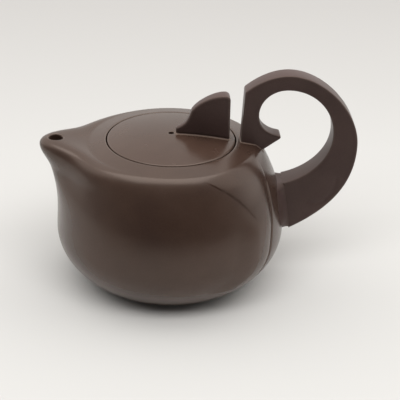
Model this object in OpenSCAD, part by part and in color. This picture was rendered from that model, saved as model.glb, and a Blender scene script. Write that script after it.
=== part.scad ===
// Clay teapot: round belly, flat shoulder, beak spout, flush lift-off lid and a curled strap handle.
// The origin is the centre of the foot. The spout points to -X and the handle to +X.

/* [Pot] */
// Radius of the belly at its widest
belly_radius = 57; // [54:0.5:61]
// Height of the widest girth above the table
belly_height = 31; // [27:0.5:33]
// Height of the mouth's rim above the table
rim_height = 77.5; // [74:0.5:82]
// Radius of the flat foot
foot_radius = 29.5; // [25:0.5:34]
// Vertical half axis of the flank, as a multiple of the height from the widest girth to the rim
flank_stretch = 1.48; // [1.36:0.01:1.6]
// Depth below the rim at which the flank starts to turn over into the shoulder
turn_depth = 13; // [11:0.5:15]
// Fall of the shoulder away from the rim, in degrees
shoulder_slope = 11.5; // [8:0.1:13]
// Width of the flat shoulder ring round the mouth
shoulder_width = 9; // [7:0.1:11]
// Thickness of the belly wall
wall = 4; // [3:0.25:5]
// Thickness of the floor slab
floor_thickness = 4; // [3:0.25:6]
// Layer of slip left between joined pieces
slip_gap = 0.15; // [0.1:0.01:0.3]

/* [Mouth and lid] */
// Radius of the mouth
mouth_radius = 32.3; // [29:0.1:34]
// Depth of the ledge below the rim, and so the lid's thickness at its edge
seat_depth = 4.5; // [3.5:0.1:6]
// How far the ledge reaches in under the lid
ledge_reach = 4; // [3:0.1:6]
// How far the ledge ring laps under the shoulder ring
ledge_lap = 4; // [2:0.1:5]
// Thickness of the ledge ring
ledge_thickness = 3; // [2:0.1:4]
// Gap between the lid's edge and the mouth
lid_gap = 0.3; // [0.2:0.05:0.6]
// Rise of the lid from its edge to its centre
lid_dome = 3; // [1:0.1:5]
// Gap between the lid's flange and the ledge
flange_gap = 0.4; // [0.3:0.05:0.8]
// Thickness of the lid's flange
flange_thickness = 2.6; // [2:0.1:4]
// Depth of the flange below the lid
flange_depth = 9; // [6:0.5:12]
// Bore of the vent hole at the lid's centre
vent_bore = 2.8; // [2:0.1:4]

/* [Knob] */
// Distance of the knob's front tip from the lid's centre
knob_front = 2.3; // [2:0.1:5]
// Distance of the knob's back edge from the lid's edge
knob_inset = 3.2; // [2:0.1:6]
// Height of the knob's crest above the rim
knob_height = 23.9; // [21:0.1:28]
// Height of the front tip above the rim
knob_tip_height = 6.3; // [5.5:0.1:9]
// Thickness of the knob at its front tip
knob_tip_thickness = 3.2; // [2:0.1:5]
// Thickness of the knob at its back edge
knob_back_thickness = 7.6; // [5:0.1:10]
// Radius of the knob's upper back corner
knob_corner = 2.6; // [1:0.1:4]

/* [Spout] */
// Distance of the beak's tip from the pot's axis
spout_reach = 65.2; // [64:0.1:70]
// Height of the beak's crest above the rim
spout_crest = 1.4; // [0:0.1:4]
// Height above the widest girth at which the spout starts to swell
spout_start = 3; // [2:0.5:8]
// Swell of the throat where the flank turns over
throat_swell = 10.3; // [9:0.1:12]
// Half angle that the whole spout panel spans round the pot
spout_span = 80; // [65:1:85]
// Half angle of the beak near its crest
beak_angle = 14; // [11:0.5:17]
// Half angle over which the beak's crest falls to the shoulder
crest_angle = 20; // [16:0.5:24]
// Half angle of the beak where it rises out of the flank
throat_angle = 30; // [24:1:36]
// Share of the swell that spreads over the whole panel
spread_share = 0.28; // [0.1:0.01:0.4]
// Bore of the pour hole on top of the beak
pour_bore = 8; // [6:0.1:9]
// Distance of the pour hole's centre from the pot's axis
pour_distance = 57; // [56:0.1:58.5]
// Radius of the channel where it leaves the pot
channel_mouth = 8.5; // [7:0.1:9.5]
// Depth below the shoulder's turn at which the channel leaves the pot
channel_drop = 5.5; // [4:0.1:7]

/* [Strainer] */
// Width of the plain rim round the strainer's holes
strainer_rim = 3; // [2:0.1:4]
// Thickness of the strainer patch
strainer_thickness = 2.5; // [2:0.1:4]
// Bore of each strainer hole
strainer_bore = 2.6; // [1.5:0.1:3]
// Angle between neighbouring strainer holes
strainer_step = 4.6; // [4.4:0.1:5]
// Height between rows of strainer holes
strainer_pitch = 3.9; // [3.6:0.1:4.2]

/* [Handle] */
// Height of the curl's top above the rim
curl_height = 35; // [32:0.1:39]
// Reach of the handle past the belly
handle_reach = 35.6; // [32:0.1:40]
// Depth below the rim at which the handle reaches furthest
reach_drop = 2; // [0:0.1:5]
// Height of the finger loop's top above the rim
finger_top = 27.2; // [24:0.1:29]
// Reach of the finger loop past the belly
finger_reach = 23.1; // [21:0.1:25]
// Height above the rim at which the finger loop is widest
finger_middle = 3.8; // [0:0.1:8]
// Depth of the finger loop's floor below the rim
finger_depth = 22; // [19:0.1:24]
// Depth of the root's lower edge below the rim
root_depth = 47.4; // [44:0.1:50]
// Distance of the root's lower edge past the belly
root_stand = 3; // [2.5:0.1:5]
// Lean of the root's end over its height, towards the pot at the top
root_lean = 3.9; // [3:0.1:4.5]
// Thickness of the strap at the hook
strap_thin = 8.6; // [7:0.1:10]
// Thickness of the strap at its root
strap_thick = 13.4; // [11:0.1:16]
// Gap between the mouth and the hook's front edge
hook_gap = 2.2; // [1.5:0.1:4]
// Height of the hook's upper corner above the rim
hook_height = 26.3; // [24:0.1:28]
// Lean of the hook's front edge over its height
hook_lean = 1.3; // [0:0.1:2]
// Distance of the hook's waist from its front edge
hook_waist = 8.5; // [7:0.1:10]
// Height of the hook's waist above the rim
waist_height = 14; // [12:0.1:16]
// Distance of the spur's tip from the hook's front edge
spur_reach = 19.5; // [17:0.5:22]
// Height of the spur's tip above the rim
spur_height = 2.2; // [1:0.1:4]
// Inset of the saddle's sides from the strap's sides
saddle_inset = 0.5; // [0.3:0.1:1]
// Flare of each side of the saddle for each millimetre towards the pot
saddle_flare = 0.9; // [0.5:0.05:1.2]

/* [Hidden] */
$fn = 96;

clay = [0.27, 0.22, 0.20];
clay_light = [0.42, 0.37, 0.34];
clay_dark = [0.22, 0.19, 0.18];

lower_axis = belly_height / sqrt(1 - pow(foot_radius / belly_radius, 2));
flank_rise = flank_stretch * (rim_height - belly_height);
turn_height = rim_height - turn_depth;
joint_radius = mouth_radius + shoulder_width;
seat_height = rim_height - seat_depth;
spout_bottom = belly_height + spout_start;
channel_height = turn_height - channel_drop;
lid_radius = mouth_radius - lid_gap;
far_out = 200;

// Curves used by several pieces
round_pull = 0.5523;
function bezier(p, t) = len(p) == 1
    ? p[0]
    : bezier([for (i = [0 : len(p) - 2]) p[i] * (1 - t) + p[i + 1] * t], t);
function curve(p, steps, t0 = 0, t1 = 1) = [for (i = [0 : steps]) bezier(p, t0 + (t1 - t0) * i / steps)];
function reversed(p) = [for (i = [len(p) - 1 : -1 : 0]) p[i]];
function after_first(p) = [for (i = [1 : len(p) - 1]) p[i]];
function smooth(t) = let (c = min(max(t, 0), 1)) c * c * (3 - 2 * c);

// Outline of the pot in the half plane of radius and height, with an inset for the inner side
function flank_r(z, inset = 0) =
    (belly_radius - inset) * sqrt(1 - pow((z - belly_height) / (flank_rise - inset), 2));
function lower_arc(z0, z1, inset, steps) = let (
        axis = lower_axis - inset,
        a0 = acos((belly_height - z0) / axis),
        a1 = acos((belly_height - z1) / axis))
    [for (i = [0 : steps]) let (a = a0 + (a1 - a0) * i / steps)
        [(belly_radius - inset) * sin(a), belly_height - axis * cos(a)]];
function flank(z0, z1, inset, steps) = [for (i = [0 : steps]) let (z = z0 + (z1 - z0) * i / steps)
    [flank_r(z, inset), z]];
function shoulder_z(r) = rim_height - (r - mouth_radius) * tan(shoulder_slope);
flank_slope = -pow(belly_radius / flank_rise, 2) * (turn_height - belly_height) / flank_r(turn_height);

// The turn from flank to shoulder is steered by the point where their tangents meet
turn_corner_r = (flank_r(turn_height) + flank_slope * (shoulder_z(0) - turn_height))
    / (1 + flank_slope * tan(shoulder_slope));
turn_outer = [[flank_r(turn_height), turn_height],
    [turn_corner_r, shoulder_z(turn_corner_r)],
    [joint_radius, shoulder_z(joint_radius)]];
turn_tilt = 40;
turn_inner = [[flank_r(turn_height, wall), turn_height],
    [turn_corner_r - wall * cos(turn_tilt), shoulder_z(turn_corner_r) - wall],
    [joint_radius, shoulder_z(joint_radius) - wall]];
lower_steps = 10;
flank_steps = 10;
turn_steps = 12;

// The whole pot's outside, swollen a little, which trims the pieces that are joined on to it
module pot_envelope() {
    outline = concat(
        lower_arc(0, belly_height, 0, lower_steps),
        after_first(flank(belly_height, turn_height, 0, flank_steps)),
        after_first(curve(turn_outer, turn_steps)),
        [[mouth_radius, rim_height]]);
    swollen = [for (p = outline) p + [slip_gap, p[1] > belly_height ? slip_gap : 0]];
    rotate_extrude()
        polygon(concat([[0, 0]], swollen, [[0, rim_height + slip_gap]]));
}

// A sector of the pot seen from above, from one height upwards
module spout_sector(bottom) {
    edge = [for (i = [-2 : 2]) let (a = 180 + spout_span * i / 2) far_out * [cos(a), sin(a)]];
    translate([0, 0, bottom])
        linear_extrude(far_out)
            polygon(concat([[0, 0]], edge));
}

module base_disc() {
    color(clay_dark)
        rotate_extrude()
            polygon(concat([[0, 0]], lower_arc(0, floor_thickness, 0, 4), [[0, floor_thickness]]));
}

module body_wall() {
    outside = concat(
        lower_arc(floor_thickness, belly_height, 0, lower_steps),
        after_first(flank(belly_height, turn_height, 0, flank_steps)),
        after_first(curve(turn_outer, turn_steps)));
    inside = concat(
        lower_arc(floor_thickness, belly_height, wall, lower_steps),
        after_first(flank(belly_height, turn_height, wall, flank_steps)),
        after_first(curve(turn_inner, turn_steps)));
    color(clay)
        difference() {
            rotate_extrude()
                polygon(concat(outside, reversed(inside)));
            spout_sector(spout_bottom);
        }
}

module shoulder_plate() {
    outer = joint_radius - slip_gap;
    color(clay_light)
        rotate_extrude()
            polygon([[mouth_radius, seat_height], [outer, seat_height], [outer, shoulder_z(outer)],
                [mouth_radius, rim_height]]);
}

// A plain round ring that stands on a height
module ring(outer, inner, bottom, height) {
    translate([0, 0, bottom])
        difference() {
            cylinder(h = height, r = outer);
            translate([0, 0, -height])
                cylinder(h = 3 * height, r = inner);
        }
}

module lid_seat() {
    color(clay_dark)
        ring(mouth_radius + ledge_lap, mouth_radius - ledge_reach, seat_height - ledge_thickness,
            ledge_thickness);
}

// Spout: a panel of the pot's own wall, pulled out towards a beak along the -X axis.
// Each point of the wall's outline moves towards its place on the beak's centre line,
// by a share that falls away with the angle from that line.
// The throat's slope runs on into the beak's underside.
tip_reach = 8.1;
tip_height = 0.3;
crest_back = 3.9;
crest_height = 3.3;
fall_length = 9.5;
chin_rise = 7.2;
throat_power = 2.4;
throat_r = flank_r(turn_height) + throat_swell;
throat_slope = flank_slope + throat_swell * throat_power / (turn_height - spout_bottom);
crest_level = rim_height + spout_crest;
beak_line = [[throat_r, turn_height],
    [throat_r + throat_slope * chin_rise, turn_height + chin_rise],
    [spout_reach + tip_reach, crest_level + tip_height],
    [spout_reach - crest_back, crest_level + crest_height],
    [joint_radius + fall_length, rim_height],
    [joint_radius, shoulder_z(joint_radius)]];
function throat(z) = throat_swell * pow((z - spout_bottom) / (turn_height - spout_bottom), throat_power);
panel_flank = flank(spout_bottom, turn_height, 0, flank_steps);
panel_base = concat(panel_flank, after_first(curve(turn_outer, turn_steps)));
panel_beak = concat(
    [for (p = panel_flank) p + [throat(p[1]), 0]],
    after_first(curve(beak_line, turn_steps)));
panel_inside = concat(
    flank(spout_bottom, turn_height, wall, flank_steps),
    after_first(curve(turn_inner, turn_steps)));
panel_rows = len(panel_base);
panel_columns = 32;
column_crowding = 1.5;
function column_angle(j) = let (s = 2 * j / panel_columns - 1)
    sign(s) * spout_span * pow(abs(s), column_crowding);
function beak_spread(z) = beak_angle
    + (throat_angle - beak_angle) * smooth(2 * (turn_height - z) / (turn_height - spout_bottom));
function swell_share(angle, spread) = let (fade = pow(cos(90 * angle / spout_span), 2))
    fade * spread_share + (1 - spread_share) * sqrt(fade) * exp(-pow(angle / spread, 2));
function seam_shift(i) = i == panel_rows - 1 ? [slip_gap, 0] : [0, 0];
function around(p, angle) = [-p[0] * cos(angle), -p[0] * sin(angle), p[1]];
function panel_point(i, angle) = let (
        base = panel_base[i],
        pull = panel_beak[i] - base,
        out_share = swell_share(angle, beak_spread(base[1])),
        lift_share = swell_share(angle, crest_angle))
    around(base + [pull[0] * out_share, pull[1] * lift_share] + seam_shift(i), angle);

module spout_panel() {
    wide = panel_columns + 1;
    outside = [for (i = [0 : panel_rows - 1]) for (j = [0 : panel_columns]) panel_point(i, column_angle(j))];
    inside = [for (i = [0 : panel_rows - 1]) for (j = [0 : panel_columns])
        around(panel_inside[i] + seam_shift(i), column_angle(j))];
    inner = panel_rows * wide;
    last = inner - wide;
    skin = [for (i = [0 : panel_rows - 2]) for (j = [0 : panel_columns - 1]) let (a = i * wide + j)
        each [[a, a + 1, a + wide + 1], [a, a + wide + 1, a + wide]]];
    lining = [for (f = skin) [f[2] + inner, f[1] + inner, f[0] + inner]];
    ends = [for (j = [0 : panel_columns - 1]) let (b = last + j)
        each [[j, j + inner, j + inner + 1], [j, j + inner + 1, j + 1],
            [b, b + inner + 1, b + inner], [b, b + 1, b + inner + 1]]];
    sides = [for (i = [0 : panel_rows - 2]) let (a = i * wide, b = a + panel_columns)
        each [[a, a + wide, a + wide + inner], [a, a + wide + inner, a + inner],
            [b, b + wide + inner, b + wide], [b, b + inner, b + wide + inner]]];
    polyhedron(points = concat(outside, inside), faces = concat(skin, lining, ends, sides));
}

// A tapered bore between two points of the X-Z plane, turned on itself so that it starts off that plane
bore_turn = 20;
module tapered_bore(from, to, r_from, r_to) {
    run = to - from;
    translate([from[0], 0, from[1]])
        rotate([0, atan2(run[0], run[1]), 0])
            rotate([0, 0, bore_turn])
                cylinder(h = norm(run), r1 = r_from, r2 = r_to);
}

module spout() {
    channel_start = [-flank_r(channel_height, wall) + channel_mouth, channel_height - channel_mouth / 2];
    channel_end = [-pour_distance, turn_height + turn_depth / 2];
    channel_step = 0.3;
    color(clay)
        difference() {
            spout_panel();
            tapered_bore(channel_start, channel_end, channel_mouth, pour_bore / 2 - channel_step);
            translate([-pour_distance, 0, channel_end[1]])
                rotate([0, 0, bore_turn])
                    cylinder(h = far_out, d = pour_bore);
        }
}

module strainer() {
    rows = 1;
    turns = 2;
    half_height = rows * strainer_pitch + strainer_bore / 2 + strainer_rim;
    middle = turn_height - slip_gap - half_height;
    lining = flank(middle - half_height, middle + half_height, wall + slip_gap, 6);
    face = [for (p = lining) p - [strainer_thickness, 0]];
    rim_angle = asin((strainer_bore / 2 + strainer_rim) / face[0][0]);
    half_span = turns * strainer_step + rim_angle;
    color(clay_light)
        difference() {
            rotate([0, 0, 180 - half_span])
                rotate_extrude(angle = 2 * half_span)
                    polygon(concat(lining, reversed(face)));
            for (row = [-rows : rows], turn = [-turns : turns])
                translate([0, 0, middle + row * strainer_pitch])
                    rotate([0, -90, turn * strainer_step])
                        translate([0, 0, face[len(face) - 1][0] - strainer_bore])
                            cylinder(h = belly_radius, d = strainer_bore, $fn = 24);
        }
}

// Handle outlines in the X-Z plane, with heights measured from the rim
function from_rim(p) = [p[0], p[1] + rim_height];
hook_front = mouth_radius + hook_gap;
hook_corner = [hook_front + hook_lean, hook_height];
waist = [hook_front + hook_waist, waist_height];
curl_top = [belly_radius, curl_height];
curl_side = [belly_radius + handle_reach, -reach_drop];
root_low = [belly_radius + root_stand, -root_depth];
root_high = [root_low[0] - root_lean, -finger_depth];
loop_top = [belly_radius, finger_top];
loop_side = [belly_radius + finger_reach, finger_middle];
curl_pull = 0.48;
curl_run = 7;
corner_run = 6.9;
corner_rise = 5.7;
outer_left = [curl_top, curl_top - [curl_run, 0], hook_corner + [corner_run, corner_rise], hook_corner];
outer_right = [curl_top,
    curl_top + [curl_pull * handle_reach, 0],
    curl_side + [0, curl_pull * (curl_top - curl_side)[1]],
    curl_side];
sweep = curl_side - root_low;
sweep_side_pull = 0.44;
sweep_root_pull = [0.67, 0.24];
outer_low = [curl_side,
    curl_side - [0, sweep_side_pull * sweep[1]],
    root_low + [sweep_root_pull[0] * sweep[0], sweep_root_pull[1] * sweep[1]],
    root_low];
inner_left = [loop_top,
    [loop_top[0] - round_pull * (loop_top - waist)[0], finger_top],
    [waist[0], waist_height + round_pull * (loop_top - waist)[1]],
    waist];
inner_right = [loop_top,
    loop_top + [round_pull * finger_reach, 0],
    loop_side + [0, round_pull * (loop_top - loop_side)[1]],
    loop_side];
drop = loop_side - root_high;
drop_side_pull = 0.47;
drop_root_pull = [0.58, 0.13];
inner_low = [loop_side,
    loop_side - [0, drop_side_pull * drop[1]],
    root_high + [drop_root_pull[0] * drop[0], drop_root_pull[1] * drop[1]],
    root_high];

// The hook ends and the loop starts on a slanting seam near the hook's upper corner
seam_outer_t = 0.8;
seam_inner_t = 0.5;
strap_outer = concat(
    curve(outer_left, 8, seam_outer_t, 0),
    after_first(curve(outer_right, 14)),
    after_first(curve(outer_low, 18)));
strap_inner = concat(
    curve(inner_left, 8, seam_inner_t, 0),
    after_first(curve(inner_right, 14)),
    after_first(curve(inner_low, 18)));
strap_last = len(strap_outer) - 1;

module handle_loop() {
    rings = [for (k = [0 : strap_last]) let (
            outer = from_rim(strap_outer[k]),
            inner = from_rim(strap_inner[k]),
            h = (strap_thin + (strap_thick - strap_thin) * k / strap_last) / 2)
        each [[outer[0], -h, outer[1]], [outer[0], h, outer[1]],
            [inner[0], h, inner[1]], [inner[0], -h, inner[1]]]];
    end = 4 * strap_last;
    tube = [for (k = [0 : strap_last - 1]) for (c = [0 : 3]) let (a = 4 * k + c, b = 4 * k + (c + 1) % 4)
        each [[a, b, b + 4], [a, b + 4, a + 4]]];
    caps = [[0, 2, 1], [0, 3, 2], [end, end + 1, end + 2], [end, end + 2, end + 3]];
    color(clay_dark)
        polyhedron(points = rings, faces = concat(tube, caps));
}

// An outline in the X-Z plane, given thickness along Y about the middle plane
module upright_plate(outline, thickness) {
    translate([0, thickness / 2, 0])
        rotate([90, 0, 0])
            linear_extrude(thickness)
                polygon(outline);
}

module handle_hook() {
    tip = [hook_front + spur_reach, spur_height];
    tip_round = 0.5;
    waist_drop = 5;
    throat_out = 2.2;
    throat_rise = 2.6;
    spur_foot_out = 2.7;
    spur_foot_depth = 4.6;
    buried_depth = 12;
    buried_out = 6;
    throat_point = [waist[0] + throat_out, tip[1] + throat_rise];
    spur_foot = [waist[0] + spur_foot_out, -spur_foot_depth];
    spur_end = tip + [-tip_round, tip_round];
    outline = concat(
        [[hook_front, -buried_depth], [hook_front, 0]],
        curve(outer_left, 3, 1, seam_outer_t),
        curve(inner_left, 6, seam_inner_t, 1),
        after_first(curve([waist, waist - [0, waist_drop], throat_point, spur_end], 10)),
        [tip, tip - [tip_round, tip_round], spur_foot, [hook_front + buried_out, -buried_depth]]);
    color(clay_dark)
        difference() {
            upright_plate([for (p = outline) from_rim(p)], strap_thin);
            pot_envelope();
        }
}

module handle_saddle() {
    bedding = 14;
    lower_taper = 1;
    upper_taper = 4;
    top = from_rim(root_high);
    bottom = from_rim(root_low);
    deep = belly_radius - bedding;
    lip = (top - bottom) * saddle_inset / norm(top - bottom);
    outline = [top - lip, bottom + lip, [deep, bottom[1] + lower_taper], [deep, top[1] - upper_taper]];
    root_half = strap_thick / 2 - saddle_inset;
    flare_half = root_half + (top[0] - deep) * saddle_flare;
    plan = [[deep, -flare_half], [top[0], -root_half], [bottom[0], -root_half],
        [bottom[0], root_half], [top[0], root_half], [deep, flare_half]];
    color(clay_dark)
        difference() {
            intersection() {
                upright_plate(outline, 2 * flare_half);
                linear_extrude(far_out)
                    polygon(plan);
            }
            pot_envelope();
        }
}

// The lid's upper face falls from its centre to its edge along a parabola
function lid_z(r) = rim_height + lid_dome * (1 - pow(r / lid_radius, 2));

module lid_solid(lift, bottom) {
    steps = 12;
    face = [for (i = [0 : steps]) let (r = lid_radius * i / steps) [r, lid_z(r) + lift]];
    rotate_extrude()
        polygon(concat([[0, bottom]], face, [[lid_radius, bottom]]));
}

module lid_plate() {
    color(clay_light)
        difference() {
            lid_solid(0, seat_height);
            cylinder(h = far_out, d = vent_bore);
        }
}

module lid_flange() {
    outer = mouth_radius - ledge_reach - flange_gap;
    color(clay)
        ring(outer, outer - flange_thickness, seat_height - flange_depth, flange_depth);
}

module lid_knob() {
    knob_back = lid_radius - knob_inset;
    tip = [knob_front, knob_tip_height];
    tip_run = [4.7, 1.9];
    brow_rise = [1.7, 5];
    brow_run = [1.8, 3.7];
    crest_run = [6, 0.6];
    brow = [knob_front, knob_height] + [7.4, -8.7];
    corner = [knob_back - knob_corner, knob_height - knob_corner];
    crest = [corner[0] - 1.5, knob_height];
    outline = concat(
        [[knob_front, 0]],
        curve([tip, tip + tip_run, brow - brow_rise, brow], 8),
        after_first(curve([brow, brow + brow_run, crest - crest_run, crest], 8)),
        [for (a = [90 : -15 : 0]) corner + knob_corner * [cos(a), sin(a)]],
        [[knob_back, 0]]);
    plan = [[knob_front, -knob_tip_thickness / 2], [knob_back, -knob_back_thickness / 2],
        [knob_back, knob_back_thickness / 2], [knob_front, knob_tip_thickness / 2]];
    color(clay_dark)
        difference() {
            intersection() {
                upright_plate([for (p = outline) from_rim(p)], 2 * knob_back_thickness);
                linear_extrude(far_out)
                    polygon(plan);
            }
            lid_solid(slip_gap, 0);
        }
}

base_disc();
body_wall();
shoulder_plate();
lid_seat();
spout();
strainer();
handle_loop();
handle_hook();
handle_saddle();
lid_plate();
lid_flange();
lid_knob();
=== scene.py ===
# %% [markdown]
# # A clay teapot with a flush lid and a curled strap handle
# The pot is unglazed purple-brown clay: a belly turned on the wheel, a spout pulled out of its wall, a lid that
# lies flush in the shoulder, a fin for a knob and a strap that curls over to the shoulder.
# The solids of the imported model are the fixed frame, and every piece made here sits where its solid sits.

# %% The frame and the imported solids
from functools import partial
from math import acos, atan2, cos, degrees, exp, hypot, pi, radians, sin, sqrt, tan

import bmesh
import bpy
import numpy as np
from mathutils import Matrix, Vector
from mathutils.bvhtree import BVHTree


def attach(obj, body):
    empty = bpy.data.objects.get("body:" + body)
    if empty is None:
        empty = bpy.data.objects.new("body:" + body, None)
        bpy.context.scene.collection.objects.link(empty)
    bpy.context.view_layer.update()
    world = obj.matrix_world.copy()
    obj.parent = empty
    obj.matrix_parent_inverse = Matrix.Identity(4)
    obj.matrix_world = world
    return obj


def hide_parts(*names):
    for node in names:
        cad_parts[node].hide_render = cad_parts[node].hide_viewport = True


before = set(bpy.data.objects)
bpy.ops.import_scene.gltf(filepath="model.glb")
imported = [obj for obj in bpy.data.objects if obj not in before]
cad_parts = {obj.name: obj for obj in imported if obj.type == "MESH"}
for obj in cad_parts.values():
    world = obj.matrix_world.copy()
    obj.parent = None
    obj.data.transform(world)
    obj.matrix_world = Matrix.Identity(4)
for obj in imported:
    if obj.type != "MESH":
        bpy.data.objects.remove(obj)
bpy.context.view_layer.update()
scene = bpy.context.scene
MM = 0.001
print("solids", sorted(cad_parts))

# %% [markdown]
# ## The camera
# The photograph looks down on the pot from the front with a long lens, a little from the spout's side.
# A camera could be turned by hand until the outlines agree, but a place worked out from angles can be checked.
# So the camera stands on a sphere round a point in the pot, and is rolled by the small tilt of the picture.

# %% Camera
AZIMUTH, ELEVATION, ROLL = radians(-4), radians(27), radians(1.4)
CAMERA_DISTANCE = 0.8
AIM = Vector((0.0151, 0, 0.043))
FOCAL_PIXELS, FRAME_PIXELS, SENSOR = 1580, 400, 36.0
back = Vector((sin(AZIMUTH) * cos(ELEVATION), -cos(AZIMUTH) * cos(ELEVATION), sin(ELEVATION)))
level = Vector((cos(AZIMUTH), sin(AZIMUTH), 0))
upright = back.cross(level)
right = level * cos(ROLL) + upright * sin(ROLL)
up = upright * cos(ROLL) - level * sin(ROLL)
camera_data = bpy.data.cameras.new("camera")
camera_data.sensor_width = SENSOR
camera_data.lens = FOCAL_PIXELS / FRAME_PIXELS * SENSOR
camera = bpy.data.objects.new("camera", camera_data)
camera.matrix_world = (Matrix.Translation(AIM + back * CAMERA_DISTANCE)
                       @ Matrix((right, up, back)).transposed().to_4x4())
scene.collection.objects.link(camera)
scene.camera = camera
print("camera at", [round(v, 3) for v in camera.location], "lens", round(camera_data.lens, 1))

# %% [markdown]
# ## The clay
# The clay is a fine iron-rich stoneware, fired without glaze. Potters burnish it with a horn blade, so it has a
# soft sheen, with fine sand grains, a few pale flecks of mica and a slow drift of colour from the kiln.
# It could be one flat colour with a bump, but then it looks like plastic. Here slow noise drifts the colour, fine
# cells make the grains, and the same grains lift the surface and change its gloss.
# Grains on the real pot are about 0.2 mm, too fine to show, so they are drawn about three times as coarse.

# %% Colours and nodes
def linear(hex_colour):
    """An sRGB hex colour as the linear colour that the shader reads."""
    parts = [int(hex_colour[i:i + 2], 16) / 255 for i in (1, 3, 5)]
    return [v / 12.92 if v <= 0.04045 else ((v + 0.055) / 1.055) ** 2.4 for v in parts] + [1]


def add(tree, kind, inputs=None, **settings):
    """Adds a node with its settings. An input is a value, an output to link, or a node whose first output is linked."""
    node = tree.nodes.new(kind)
    for name, value in settings.items():
        setattr(node, name, value)
    for name, value in (inputs or {}).items():
        if isinstance(value, bpy.types.Node):
            value = value.outputs[0]
        if isinstance(value, bpy.types.NodeSocket):
            tree.links.new(value, node.inputs[name])
        else:
            node.inputs[name].default_value = value
    return node


def math_node(tree, operation, *values, **settings):
    return add(tree, "ShaderNodeMath", dict(enumerate(values)), operation=operation, **settings)


def map_range(tree, value, *limits, **settings):
    """Moves a value from one range to another: from low, from high, to low, to high."""
    return add(tree, "ShaderNodeMapRange", dict(enumerate((value, *limits))), **settings)


def three_tones(tree, value, first, middle, last, start=0.0, end=1.0):
    """A ramp from a first colour through a middle one to a last one."""
    ramp = add(tree, "ShaderNodeValToRGB", {0: value})
    tones = ramp.color_ramp.elements
    tones[0].position, tones[0].color = start, linear(first)
    tones[1].position, tones[1].color = end, linear(last)
    tones.new(0.5).color = linear(middle)
    return ramp


def directions(tree, kind):
    """The X, Y and Z of a texture coordinate."""
    return add(tree, "ShaderNodeSeparateXYZ", {0: add(tree, "ShaderNodeTexCoord").outputs[kind]}).outputs


def empty_material(name):
    material = bpy.data.materials.new(name)
    material.use_nodes = True
    material.node_tree.nodes.clear()
    return material, material.node_tree


print("a middle grey is", [round(v, 3) for v in linear("#808080")], "to the shader")

# %% Clay finishes
DRIFT_MM, CLOUD_MM, GRAIN_MM, FLECK_MM, BLADE_MM, MARK_MM, PORE_MM = 45, 9, 0.7, 1.6, 2.4, 0.05, 0.06
TONES_FROM, TONES_TO, CLOUD_SHARE, FLECK_SHARE = 0.34, 0.66, 0.2, 0.03
# Tightly bent edges are painted paler, a painted highlight along the edges, and made a little glossier, as polish does.
EDGE_HIGHLIGHT_PALER, WORN_SMOOTHER = 0.12, 0.06
MICA, WARM_SHEEN = linear("#a79a90"), (1, 0.86, 0.78, 1)


def clay(name, dark, middle, pale, roughness, index, grain_lift, blade_lift):
    """Unglazed stoneware, burnished: colour drift, sand grains, mica flecks and faint blade marks."""
    material, tree = empty_material(name)
    place = add(tree, "ShaderNodeTexCoord").outputs["Object"]

    def noise(size_mm, detail):
        scale = 1 / (size_mm * MM)
        return add(tree, "ShaderNodeTexNoise", {"Vector": place, "Scale": scale, "Detail": detail})

    drift, cloud, grain = noise(DRIFT_MM, 3), noise(CLOUD_MM, 4), noise(GRAIN_MM, 2)
    fleck = add(tree, "ShaderNodeTexVoronoi", {"Vector": place, "Scale": 1 / (FLECK_MM * MM)})
    shade = add(tree, "ShaderNodeMix", {0: CLOUD_SHARE, 2: drift, 3: cloud})
    tone = three_tones(tree, shade, dark, middle, pale, TONES_FROM, TONES_TO)
    sandy = map_range(tree, grain, 0.3, 0.7, 0.94, 1.05)
    sanded = add(tree, "ShaderNodeMix", {0: 1.0, 6: tone, 7: sandy}, data_type="RGBA", blend_type="MULTIPLY")
    speck = map_range(tree, fleck.outputs["Distance"], 0.04, 0.12, FLECK_SHARE, 0.0)
    # Paler colour on tightly bent edges is a painted highlight; the mica flecks are the clay's own.
    edge_wear_and_highlight = add(tree, "ShaderNodeAttribute", attribute_name="edge_wear_and_highlight").outputs["Fac"]
    mica_and_edge_highlight = math_node(tree, "MULTIPLY_ADD", edge_wear_and_highlight, EDGE_HIGHLIGHT_PALER, speck, use_clamp=True)
    coloured = add(tree, "ShaderNodeMix", {0: mica_and_edge_highlight, 6: sanded.outputs[2], 7: MICA}, data_type="RGBA")
    gloss = map_range(tree, cloud, 0.3, 0.7, roughness - 0.02, roughness + 0.03)
    polished = math_node(tree, "MULTIPLY_ADD", edge_wear_and_highlight, -WORN_SMOOTHER, gloss)
    blades = add(tree, "ShaderNodeTexWave", {"Vector": place, "Scale": 1 / (BLADE_MM * MM) / 20, "Distortion": 3.0,
                                             "Detail": 2, "Detail Scale": 0.6}, bands_direction="Z")
    marks = add(tree, "ShaderNodeBump", {"Height": blades.outputs["Fac"], "Strength": blade_lift,
                                         "Distance": MARK_MM * MM})
    pores = add(tree, "ShaderNodeBump", {"Height": grain, "Strength": grain_lift, "Distance": PORE_MM * MM,
                                         "Normal": marks})
    surface = add(tree, "ShaderNodeBsdfPrincipled", {
        "Base Color": coloured.outputs[2], "IOR": index, "Specular Tint": WARM_SHEEN, "Roughness": polished,
        "Normal": pores})
    add(tree, "ShaderNodeOutputMaterial", {"Surface": surface})
    return material


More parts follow.
